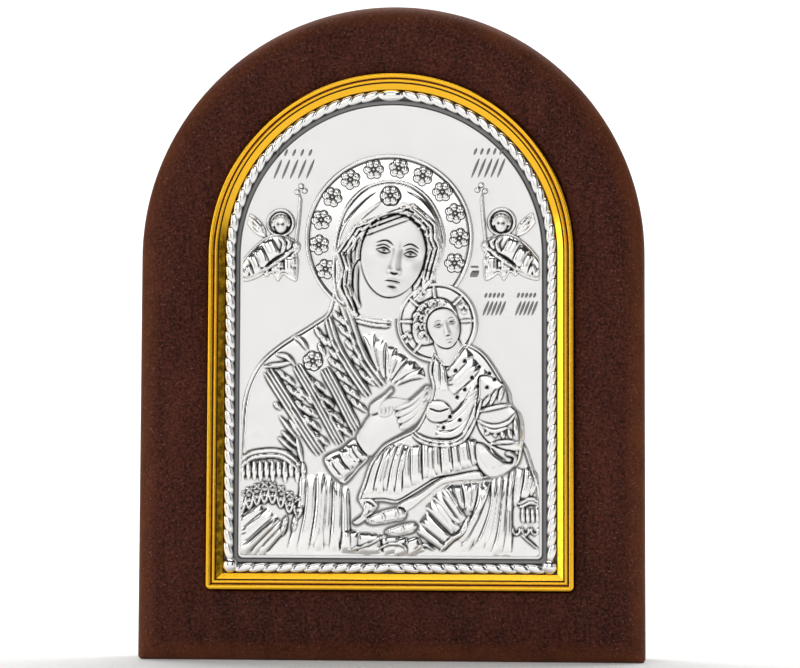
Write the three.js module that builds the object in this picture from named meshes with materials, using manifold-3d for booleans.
// Small arched icon: a stained wooden board with a pocket in its front, a gilt bead set round the pocket's
// edge, and a stamped silver plaque with a mother and child in low relief inside it.
// Millimetres, +Z up. The board stands on its flat underside and the relief faces -Y.
import * as THREE from "three";
import { mergeVertices } from "three/addons/utils/BufferGeometryUtils.js";
import Module from "manifold-3d";

// Driving dimensions of the board
const BOARD_WIDTH = 94;
const BOARD_HEIGHT = 122;
const BOARD_THICKNESS = 18;
const ROUNDOVER_WIDTH = 4; // how far the rounded front edge reaches over the face
const ROUNDOVER_DEPTH = 3.2; // and how far back it reaches
const BOARD_CORNER = 0.8; // radius of the two bottom corners
const ARCH_STEPS = 36;
const CORNER_STEPS = 3;
const ROUNDOVER_STEPS = 5;

// Insets from the board's edge, and heights above the board's front face
const POCKET_INSET = 12.8;
const POCKET_DEPTH = 3;
const GAP = 0.3; // clearance round each piece that is set into another
const RIM_INSET = POCKET_INSET + GAP;
const RIM_WALL = 1.4;
const RIM_LIP = 3;
const RIM_PROUD = 1.2;
const RIM_CORNER = 0.9;
const BEAD_STEPS = 4;
const PLAQUE_INSET = RIM_INSET + RIM_WALL + GAP;
const GROUND_HEIGHT = -0.6; // the plaque's flat ground lies this far below the board's face
const PLAQUE_CORNER = 0.4;
const ROPE_INSET = 17.4; // centre line of the rope moulding
const ROPE_PITCH = 2.42;
const ROPE_LOBE = { length: 1.2, width: 0.66, height: 0.62, lean: 0.62 };
const GROUND_INSET = 18.9; // where the flat ground begins, inside the rope

const ARCH_RADIUS = BOARD_WIDTH / 2;
const ARCH_CENTRE = BOARD_HEIGHT - ARCH_RADIUS;
const TOTAL_DEPTH = BOARD_THICKNESS + RIM_PROUD;

// Heights of the relief's layers above its ground
const LEVEL = {
  halo: 0.35,
  angel: 0.6,
  mantle: 0.7,
  hem: 0.95,
  hood: 1.0,
  childHalo: 0.95,
  sleeve: 1.15,
  childBody: 1.2,
  childSleeve: 1.4,
  hand: 1.5,
};
const FORM_EDGE = 0.3; // rounding of a form's edge
const SINK = 0.5; // how far each form runs down into the plate
const SLIVER = 0.05; // facets narrower than this are merged into their neighbours

// Mother's halo, hood and mantle
const HALO = { x: -0.3, z: 78.2, radius: 15.7, rim: 0.9 };
const ROSETTE = { count: 12, ring: 13.15, radius: 1.65, height: 0.3, petals: 6, first: -21.2, step: 20.67 };
const MANTLE = [
  [-28, 18.9], [-28, 37], [-27.4, 48], [-26.2, 52], [-24.2, 55.4], [-21, 58.3], [-14, 62.8], [-12, 64.3],
  [-11, 67], [-10.9, 75], [-10.2, 80], [-8.4, 84.5], [-5.2, 87.8], [-1, 89.2], [3.5, 88.6], [7.2, 86], [9.5, 82],
  [10.4, 78], [9.9, 74.6], [8.6, 71], [11, 60], [20, 46], [25, 40], [26.5, 36], [28, 31], [28, 18.9],
];
const HOOD = [
  [-9.6, 66], [-10.9, 70], [-10.9, 75], [-10.2, 80], [-8.4, 84.5], [-5.2, 87.8], [-1, 89.2], [3.5, 88.6], [7.2, 86],
  [9.5, 82], [10.4, 78], [9.9, 74.6], [8.4, 71], [4, 68], [-3, 64.5],
];
const HOOD_HEM = [
  [-9.3, 69.4], [-9.2, 72.6], [-9.6, 75.4], [-6.6, 79.8], [-2.2, 82.4], [4.2, 83.1], [8, 80], [8.9, 75.4], [7.9, 71],
];
const NECK = [[-6.3, 73], [-6.3, 64.2], [-3, 63.2], [1.6, 63], [4, 68], [0, 74]];
const FACE = { x: 0.3, z: 74.2, half: 6.3, length: 7.6, tilt: 9, height: 0.75 };
const SHOULDER_STAR = { x: -14.3, z: 55.2, radius: 1.9 };
const HOOD_STAR = { x: 0, z: 86, radius: 1.8 };

// Hems that sweep from the shoulder down to the wrist: start, bend and end
const MANTLE_BANDS = [
  [[-9.3, 69.2], [-6.6, 61], [-1.4, 51.2]],
  [[-11.8, 64], [-8.6, 57], [-3.8, 48.6]],
  [[-12, 54], [-9.4, 49], [-6.2, 42.6]],
  [[-17.8, 55], [-13.4, 47.6], [-9.2, 39.6]],
  [[-23.2, 53.2], [-17.6, 45], [-12, 37.8]],
];
const COLLAR = [[-6, 62.6], [-2.6, 61.8], [1.2, 61.6]];
const TUNIC_FOLDS = { from: [[-4, 60], [3.6, 56]], to: [[-1.6, 53.4], [0.4, 52.2]], count: 5 };
const LAP_FOLDS = { from: [[-13, 35], [-7.6, 31]], to: [[-24.5, 21.5], [-8, 19.6]], count: 5 };
const SKIRT_FOLDS = { from: [[11, 31.6], [21.6, 32]], to: [[9.4, 21], [20.6, 19.6]], count: 6 };
const SIDE_FOLDS = { from: [[23, 33.6], [26.2, 34.4]], to: [[21.8, 27], [26.4, 30.8]], count: 3 };

// Sleeves and hands
const FRINGED_SLEEVE = [
  [-28, 36.3], [-25.6, 38], [-22.4, 38.5], [-19.4, 37.8], [-15.8, 35.2], [-15.8, 31], [-16.8, 27.4], [-28, 27.6],
];
const FRINGE = { left: -27.2, right: -17, top: 36.4, bottom: 28.4, count: 8 };
const SIDE_FRINGE = [[23, 29], [25, 30], [28, 29.6], [28, 24.3], [24, 24.6]];
const CUFF = [[-12, 37.4], [-9, 39.2], [-6.5, 41], [-3.7, 37.5], [-5.6, 35.3], [-8.3, 32.6], [-10.5, 34]];
const CUFF_FOLDS = { from: [[-10.6, 36.9], [-7.2, 39.4]], to: [[-7.6, 33.6], [-4.9, 36.8]], count: 3 };
const RIGHT_HAND = [
  [-6.3, 41.1], [-3.6, 45.2], [0.6, 47.6], [3.4, 48.2], [6.7, 50.8], [7.9, 49.6], [6.6, 46.2], [3.6, 43], [-1.4, 39.9],
  [-3.8, 37.6],
];
const FINGERS = { from: [[0.6, 45.4], [2.6, 43.2]], to: [[6.9, 50.4], [7.2, 47.2]], count: 4 };
const CHILD_HAND = [[-3.6, 45.3], [-3.4, 47.6], [0.4, 50.3], [1.5, 47.6], [0.2, 45], [-1.6, 44.7]];
const LEFT_HAND = [
  [15.8, 40.2], [17.5, 38.5], [20.6, 36.6], [21.2, 38.5], [23.3, 38], [23.4, 36], [20, 33.9], [18.6, 33.7], [16.2, 35.5],
];

// Child
const CHILD_HALO = { x: 8.7, z: 62.4, radius: 7.55, rim: 0.7 };
const CHILD_HEAD = { x: 8.9, z: 62.2, half: 4.5, length: 4.8, tilt: -14, height: 0.85 };
const CHILD_FACE = { x: 10.1, z: 61.2, half: 3.3, length: 4, tilt: -14, height: 0.9 };
const CHILD_BODY = [
  [8.2, 57.2], [13.6, 58.7], [15.6, 58.2], [17.8, 56.6], [20.9, 52], [22.5, 47.6], [23.9, 46], [24.7, 43.6], [24.8, 40.5],
  [23.6, 36], [18.8, 33.7], [9, 32.6], [1.5, 28.8], [-5.6, 29.4], [-3.6, 36.5], [-1.5, 39.6], [4.6, 43], [7.4, 49],
  [7.4, 53],
];
const CHILD_SLEEVE = [
  [17, 52.5], [20.4, 51.6], [21.9, 49.8], [22.5, 47.6], [24, 45.6], [24.5, 42], [23.8, 38.8], [20.6, 39], [17.4, 40.8],
  [15.6, 44], [16, 49],
];
const SASH = [[17, 52.6], [14.4, 46.4], [10.6, 43.2], [6.6, 43.6]];
const SASH_EDGE = [[16.6, 48.4], [14.6, 43.4], [10.4, 40.6], [5, 41.8]];
const CHEST_BANDS = { from: [[15.6, 56.4], [17.2, 54.6]], to: [[10.4, 51.6], [10.6, 48.8]], count: 2 };
const LAPEL_FOLDS = { from: [[8.4, 56.6], [9.4, 56.6]], to: [[7.8, 49.4], [10, 48.6]], count: 2 };
const WAIST_FOLDS = { from: [[4.6, 39.6], [15, 40.2]], to: [[4.4, 33], [15.6, 35]], count: 6 };
const DIAGONAL_FOLDS = { from: [[-0.6, 39.4], [3.8, 39.4]], to: [[-5, 30.4], [1.4, 29.6]], count: 5 };
const LEG = [[1.6, 28.4], [5, 30.2], [9.4, 32.8], [9.8, 31], [6.2, 28], [2.6, 26.4]];
const FEET = [
  { x: -0.6, z: 26, half: 2.9, length: 1.2, tilt: 8, height: 0.5 },
  { x: 3, z: 24.2, half: 2, length: 1, tilt: -8, height: 0.45 },
];

// One angel, on the left; its fellow is the mirror image
const ANGEL = {
  halo: { x: -20.6, z: 81.1, radius: 2.75, rim: 0.4 },
  head: { x: -20.8, z: 80.4, half: 1.4, length: 1.6, tilt: 0, height: 0.5 },
  wing: [[-27.6, 83], [-25, 82.2], [-23.2, 79.8], [-23.8, 78.4], [-25.6, 79.2]],
  robe: [
    [-22, 78.8], [-25.5, 76.8], [-28, 74.2], [-28, 71.4], [-26.4, 70.5], [-23.8, 71.6], [-21.6, 70.6], [-17.6, 70.6],
    [-17.6, 75], [-17.5, 77.4], [-19, 78.6],
  ],
  folds: { from: [[-25.2, 75.2], [-19, 74.6]], to: [[-26, 72.4], [-18.8, 72]], count: 3 },
  sash: [[-25.2, 75.2], [-22.6, 75.8], [-19.4, 77.2]],
  staff: [[-18.2, 78], [-17.4, 82.4], [-16.8, 87]],
};

// The boolean library joins and cuts closed meshes
const wasm = await Module();
wasm.setup();

function solid(geometry) {
  const bare = geometry.clone();
  for (const name of Object.keys(bare.attributes)) {
    if (name !== "position") bare.deleteAttribute(name);
  }
  const merged = mergeVertices(bare, 1e-4);
  return new wasm.Manifold(
    new wasm.Mesh({
      numProp: 3,
      vertProperties: new Float32Array(merged.attributes.position.array),
      triVerts: new Uint32Array(merged.index.array),
    }),
  );
}

function geometryOf(manifold) {
  const mesh = manifold.getMesh();
  const geometry = new THREE.BufferGeometry();
  geometry.setAttribute("position", new THREE.BufferAttribute(new Float32Array(mesh.vertProperties), 3));
  geometry.setIndex(new THREE.BufferAttribute(new Uint32Array(mesh.triVerts), 1));
  geometry.computeVertexNormals();
  return geometry;
}

// Arched outline at an inset from the board's edge, counter-clockwise from the bottom left corner
function archPoints(inset, corner) {
  const half = ARCH_RADIUS - inset;
  const points = [];
  const arc = (x, z, radius, from, to, steps) => {
    for (let i = 0; i <= steps; i++) {
      const angle = from + ((to - from) * i) / steps;
      points.push(new THREE.Vector2(x + radius * Math.cos(angle), z + radius * Math.sin(angle)));
    }
  };
  arc(-half + corner, inset + corner, corner, Math.PI, 1.5 * Math.PI, CORNER_STEPS);
  arc(half - corner, inset + corner, corner, 1.5 * Math.PI, 2 * Math.PI, CORNER_STEPS);
  arc(0, ARCH_CENTRE, half, 0, Math.PI, ARCH_STEPS);
  return points;
}

function archPrism(inset, corner, bottom, top) {
  const shape = new THREE.Shape(archPoints(inset, corner));
  const geometry = new THREE.ExtrudeGeometry(shape, { depth: top - bottom, bevelEnabled: false });
  return solid(geometry.translate(0, 0, bottom));
}

// Skin over a stack of matching arched rings, capped at both ends or closed on itself
function ringSkin(rings, closed) {
  const size = rings[0].points.length;
  const positions = rings.flatMap((ring) => ring.points.flatMap((p) => [p.x, p.y, ring.height]));
  const index = [];
  const spans = closed ? rings.length : rings.length - 1;
  for (let r = 0; r < spans; r++) {
    const a = r * size;
    const b = ((r + 1) % rings.length) * size;
    for (let i = 0; i < size; i++) {
      const j = (i + 1) % size;
      index.push(a + i, a + j, b + j, a + i, b + j, b + i);
    }
  }
  if (!closed) {
    const cap = THREE.ShapeUtils.triangulateShape(rings[0].points, []);
    const top = (rings.length - 1) * size;
    for (const [i, j, k] of cap) {
      index.push(k, j, i, top + i, top + j, top + k);
    }
  }
  const geometry = new THREE.BufferGeometry();
  geometry.setAttribute("position", new THREE.Float32BufferAttribute(positions, 3));
  geometry.setIndex(index);
  return geometry;
}

function makeBoard() {
  const rings = [{ points: archPoints(0, BOARD_CORNER), height: -BOARD_THICKNESS }];
  for (let i = 0; i <= ROUNDOVER_STEPS; i++) {
    const angle = (Math.PI / 2) * (i / ROUNDOVER_STEPS);
    const inset = ROUNDOVER_WIDTH * (1 - Math.cos(angle));
    const height = -ROUNDOVER_DEPTH * (1 - Math.sin(angle));
    rings.push({ points: archPoints(inset, BOARD_CORNER), height });
  }
  const board = solid(ringSkin(rings, false));
  return geometryOf(board.subtract(archPrism(POCKET_INSET, RIM_CORNER + GAP, -POCKET_DEPTH, 1)));
}

// The bead's section: a wall down into the pocket, a round bead, a groove, and a lip that slopes to the plaque
function makeRim() {
  const foot = GAP - POCKET_DEPTH;
  const lipUnder = GROUND_HEIGHT + GAP;
  const section = [[0, foot]];
  const beadHalf = RIM_WALL / 2;
  const beadRise = 0.65;
  for (let i = 0; i <= BEAD_STEPS; i++) {
    const angle = Math.PI * (i / BEAD_STEPS);
    section.push([beadHalf * (1 - Math.cos(angle)), RIM_PROUD - beadRise * (1 - Math.sin(angle))]);
  }
  section.push([RIM_WALL + 0.25, 0.85], [RIM_WALL + 0.55, 0.85], [RIM_LIP, 0], [RIM_LIP, lipUnder]);
  section.push([RIM_WALL, lipUnder], [RIM_WALL, foot]);
  const rings = section.map(([inset, height]) => ({
    points: archPoints(RIM_INSET + inset, Math.max(RIM_CORNER - inset, 0.05)),
    height,
  }));
  return geometryOf(solid(ringSkin(rings, true)));
}

// Relief forms. Each is made on the plaque's own ground, with its height towards the viewer.

function smoothOutline(points, perPoint = 2) {
  const knots = points.map(([x, z]) => new THREE.Vector3(x, z, 0));
  const curve = new THREE.CatmullRomCurve3(knots, true, "centripetal");
  const samples = curve.getPoints(points.length * perPoint).slice(0, -1);
  return samples.map((p) => new THREE.Vector2(p.x, p.y));
}

function circleOutline({ x, z, radius }, steps) {
  const points = [];
  for (let i = 0; i < steps; i++) {
    const angle = (2 * Math.PI * i) / steps;
    points.push(new THREE.Vector2(x + radius * Math.cos(angle), z + radius * Math.sin(angle)));
  }
  return points;
}

// A pad that stands up to a level above the ground, with its edge rounded unless that is nought
function pad(points, level, edge = FORM_EDGE) {
  const geometry = new THREE.ExtrudeGeometry(new THREE.Shape(points), {
    depth: level + SINK - 2 * edge,
    bevelEnabled: edge > 0,
    bevelThickness: edge,
    bevelSize: edge,
    bevelOffset: -edge,
    bevelSegments: 1,
  });
  return solid(geometry.translate(0, 0, edge - SINK));
}

function dome({ x, z, half, length, tilt, height }, level, around = 14, rings = 6) {
  const geometry = new THREE.SphereGeometry(1, around, rings);
  geometry.rotateX(Math.PI / 2);
  geometry.scale(half, length, height);
  geometry.rotateZ(THREE.MathUtils.degToRad(-tilt));
  return solid(geometry.translate(x, z, level));
}

// A roof-shaped fold along a curve, narrowing to its two ends
function fold(points, width, base, rise, steps = 4) {
  const knots = points.map(([x, z]) => new THREE.Vector3(x, z, 0));
  const curve = new THREE.CatmullRomCurve3(knots, false, "centripetal");
  const positions = [];
  for (let i = 0; i <= steps; i++) {
    const t = i / steps;
    const p = curve.getPoint(t);
    const along = curve.getTangent(t);
    const swell = 0.35 + 0.65 * Math.sin(Math.PI * t);
    const half = (width / 2) * swell;
    positions.push(p.x + along.y * half, p.y - along.x * half, base - FORM_EDGE);
    positions.push(p.x, p.y, base + rise * swell);
    positions.push(p.x - along.y * half, p.y + along.x * half, base - FORM_EDGE);
  }
  const index = [0, 1, 2];
  for (let i = 0; i < steps; i++) {
    for (let k = 0; k < 3; k++) {
      const a = 3 * i + k;
      const b = 3 * i + ((k + 1) % 3);
      index.push(a, b + 3, b, a, a + 3, b + 3);
    }
  }
  const last = 3 * steps;
  index.push(last, last + 2, last + 1);
  const geometry = new THREE.BufferGeometry();
  geometry.setAttribute("position", new THREE.Float32BufferAttribute(positions, 3));
  geometry.setIndex(index);
  return solid(geometry);
}

function between(a, b, t) {
  return [a[0] + (b[0] - a[0]) * t, a[1] + (b[1] - a[1]) * t];
}

// A fan of folds whose ends are spread evenly along two lines
function foldFan({ from, to, count }, width, base, rise) {
  const made = [];
  for (let i = 0; i < count; i++) {
    const t = count === 1 ? 0.5 : i / (count - 1);
    made.push(fold([between(from[0], from[1], t), between(to[0], to[1], t)], width, base, rise, 2));
  }
  return made;
}

function halo(ring, level, steps) {
  const outer = pad(circleOutline(ring, steps), level + 0.2, 0.15);
  const dished = pad(circleOutline({ ...ring, radius: ring.radius - ring.rim }, steps), 1, 0);
  return outer.subtract(dished.translate(0, 0, level + SINK));
}

function rosette(x, z, radius, level, turn) {
  const points = [];
  const perPetal = 2;
  const total = ROSETTE.petals * perPetal;
  for (let i = 0; i < total; i++) {
    const angle = (2 * Math.PI * i) / total;
    const reach = radius * (0.93 + 0.07 * Math.cos(ROSETTE.petals * angle));
    points.push(new THREE.Vector2(x + reach * Math.cos(angle + turn), z + reach * Math.sin(angle + turn)));
  }
  return pad(points, level + ROSETTE.height, 0);
}

function mother() {
  const forms = [halo(HALO, LEVEL.halo, 40)];
  for (let i = 0; i < ROSETTE.count; i++) {
    const angle = THREE.MathUtils.degToRad(ROSETTE.first + i * ROSETTE.step);
    const x = HALO.x + ROSETTE.ring * Math.cos(angle);
    const z = HALO.z + ROSETTE.ring * Math.sin(angle);
    forms.push(rosette(x, z, ROSETTE.radius, LEVEL.halo, angle));
  }
  forms.push(pad(smoothOutline(MANTLE), LEVEL.mantle), pad(smoothOutline(HOOD), LEVEL.hood));
  forms.push(pad(smoothOutline(NECK), LEVEL.hood + 0.1), dome(FACE, LEVEL.hood));
  forms.push(fold(HOOD_HEM, 2, LEVEL.hood, 0.45, 12));
  forms.push(rosette(HOOD_STAR.x, HOOD_STAR.z, HOOD_STAR.radius, LEVEL.hood, 0));
  forms.push(rosette(SHOULDER_STAR.x, SHOULDER_STAR.z, SHOULDER_STAR.radius, LEVEL.mantle, 0));
  for (const band of MANTLE_BANDS) forms.push(fold(band, 2.2, LEVEL.mantle, 0.5, 5));
  forms.push(fold(COLLAR, 1.2, LEVEL.mantle, 0.4));
  forms.push(...foldFan(TUNIC_FOLDS, 1, LEVEL.mantle, 0.4));
  for (const fan of [LAP_FOLDS, SKIRT_FOLDS, SIDE_FOLDS]) forms.push(...foldFan(fan, 1.4, LEVEL.mantle, 0.4));
  return forms;
}

function sleevesAndHands() {
  const forms = [pad(smoothOutline(FRINGED_SLEEVE), LEVEL.hem), pad(smoothOutline(SIDE_FRINGE), LEVEL.hem)];
  for (let i = 0; i < FRINGE.count; i++) {
    const x = FRINGE.left + ((FRINGE.right - FRINGE.left) * i) / (FRINGE.count - 1);
    forms.push(fold([[x, FRINGE.top], [x, FRINGE.bottom]], 0.9, LEVEL.hem, 0.3, 2));
  }
  forms.push(pad(smoothOutline(CUFF), LEVEL.sleeve), ...foldFan(CUFF_FOLDS, 1, LEVEL.sleeve, 0.3));
  forms.push(pad(smoothOutline(RIGHT_HAND), LEVEL.hand), ...foldFan(FINGERS, 1, LEVEL.hand, 0.25));
  forms.push(pad(smoothOutline(CHILD_HAND), LEVEL.hand + 0.25), pad(smoothOutline(LEFT_HAND), LEVEL.hand));
  return forms;
}

function child() {
  const forms = [halo(CHILD_HALO, LEVEL.childHalo, 28)];
  forms.push(pad(smoothOutline(CHILD_BODY), LEVEL.childBody), pad(smoothOutline(CHILD_SLEEVE), LEVEL.childSleeve));
  forms.push(dome(CHILD_HEAD, LEVEL.childHalo - 0.15), dome(CHILD_FACE, LEVEL.childHalo - 0.1));
  forms.push(fold(SASH, 1.4, LEVEL.childBody, 0.4), fold(SASH_EDGE, 1.4, LEVEL.childBody, 0.4));
  for (const fan of [CHEST_BANDS, LAPEL_FOLDS, WAIST_FOLDS, DIAGONAL_FOLDS]) {
    forms.push(...foldFan(fan, 1.2, LEVEL.childBody, 0.35));
  }
  forms.push(pad(smoothOutline(LEG), LEVEL.childBody + 0.1));
  for (const foot of FEET) forms.push(dome(foot, LEVEL.mantle, 10, 4));
  return forms;
}

function angel() {
  const forms = [halo(ANGEL.halo, LEVEL.angel - 0.2, 14), dome(ANGEL.head, LEVEL.angel - 0.1, 8, 4)];
  forms.push(pad(smoothOutline(ANGEL.wing), LEVEL.angel - 0.15), pad(smoothOutline(ANGEL.robe), LEVEL.angel));
  forms.push(...foldFan(ANGEL.folds, 0.9, LEVEL.angel, 0.3), fold(ANGEL.sash, 1, LEVEL.angel, 0.3));
  forms.push(fold(ANGEL.staff, 1, 0.1, 0.4, 2));
  return forms;
}

// Rope moulding: leaning lobes along the plaque's border, mirrored left and right
function ropeLobes() {
  const half = ARCH_RADIUS - ROPE_INSET;
  const ballRoom = 1.5;
  const beadRoom = 2.8;
  const side = ARCH_CENTRE - ROPE_INSET - ballRoom;
  const arch = half * (Math.PI / 2) - beadRoom;
  const rise = side + arch;
  const lobes = [];
  const place = (x, z, heading) => {
    for (const mirror of [1, -1]) {
      const lobe = new THREE.SphereGeometry(1, 4, 3);
      lobe.rotateX(Math.PI / 2);
      lobe.scale(ROPE_LOBE.length, ROPE_LOBE.width, ROPE_LOBE.height);
      lobe.rotateZ(mirror * (heading + ROPE_LOBE.lean) + (mirror < 0 ? Math.PI : 0));
      lobes.push(solid(lobe.translate(mirror * x, z, 0)));
    }
  };
  const risers = Math.round(rise / ROPE_PITCH);
  for (let i = 0; i < risers; i++) {
    const s = ((i + 0.5) * rise) / risers;
    if (s < side) {
      place(half, ROPE_INSET + ballRoom + s, Math.PI / 2);
    } else {
      const angle = (s - side) / half;
      place(half * Math.cos(angle), ARCH_CENTRE + half * Math.sin(angle), Math.PI / 2 + angle);
    }
  }
  const sill = half - ballRoom;
  const treads = Math.round(sill / ROPE_PITCH);
  for (let i = 0; i < treads; i++) place(((i + 0.5) * sill) / treads, ROPE_INSET, 0);
  return lobes;
}

function borderBeads() {
  const half = ARCH_RADIUS - ROPE_INSET;
  const ball = { z: ROPE_INSET + 0.2, half: 1.4, length: 1.4, tilt: 0, height: 0.9 };
  const oval = { x: 0, z: ARCH_CENTRE + half, half: 2.5, length: 1.15, tilt: 0, height: 0.8 };
  return [dome({ ...ball, x: 0.3 - half }, 0), dome({ ...ball, x: half - 0.3 }, 0), dome(oval, 0)];
}

function makePlaque() {
  const back = GAP - POCKET_DEPTH - GROUND_HEIGHT;
  const plate = archPrism(PLAQUE_INSET, PLAQUE_CORNER, back, 0);
  const framed = archPrism(GROUND_INSET, PLAQUE_CORNER, back, 5);
  const angelRelief = wasm.Manifold.union(angel());
  const figures = [...mother(), ...sleevesAndHands(), ...child(), angelRelief, angelRelief.mirror([1, 0, 0])];
  const relief = wasm.Manifold.union(figures).intersect(framed);
  const joined = wasm.Manifold.union([plate, relief, ...ropeLobes(), ...borderBeads()]).simplify(SLIVER);
  const shells = joined.decompose();
  shells.sort((a, b) => b.volume() - a.volume());
  return geometryOf(shells[0]); // the outer skin alone, so no air is sealed in under a fold
}

// Materials and assembly
const stainedWood = new THREE.MeshStandardMaterial({ color: 0x3c2320, roughness: 0.6, metalness: 0 });
const giltMetal = new THREE.MeshStandardMaterial({ color: 0xd9a21b, roughness: 0.2, metalness: 1 });
const silver = new THREE.MeshStandardMaterial({ color: 0xdcdad6, roughness: 0.3, metalness: 1 });

function piece(name, geometry, material, height) {
  const mesh = new THREE.Mesh(geometry, material);
  mesh.name = name;
  mesh.position.z = height;
  return mesh;
}

// The pieces are drawn lying face up and the group stands them on edge
const upright = new THREE.Group();
upright.rotation.x = Math.PI / 2;
upright.position.y = RIM_PROUD - TOTAL_DEPTH / 2;
upright.add(piece("wooden_board", makeBoard(), stainedWood, 0));
upright.add(piece("gilt_rim", makeRim(), giltMetal, 0));
upright.add(piece("silver_plaque", makePlaque(), silver, GROUND_HEIGHT));

const icon = new THREE.Group();
icon.add(upright);

export default icon;
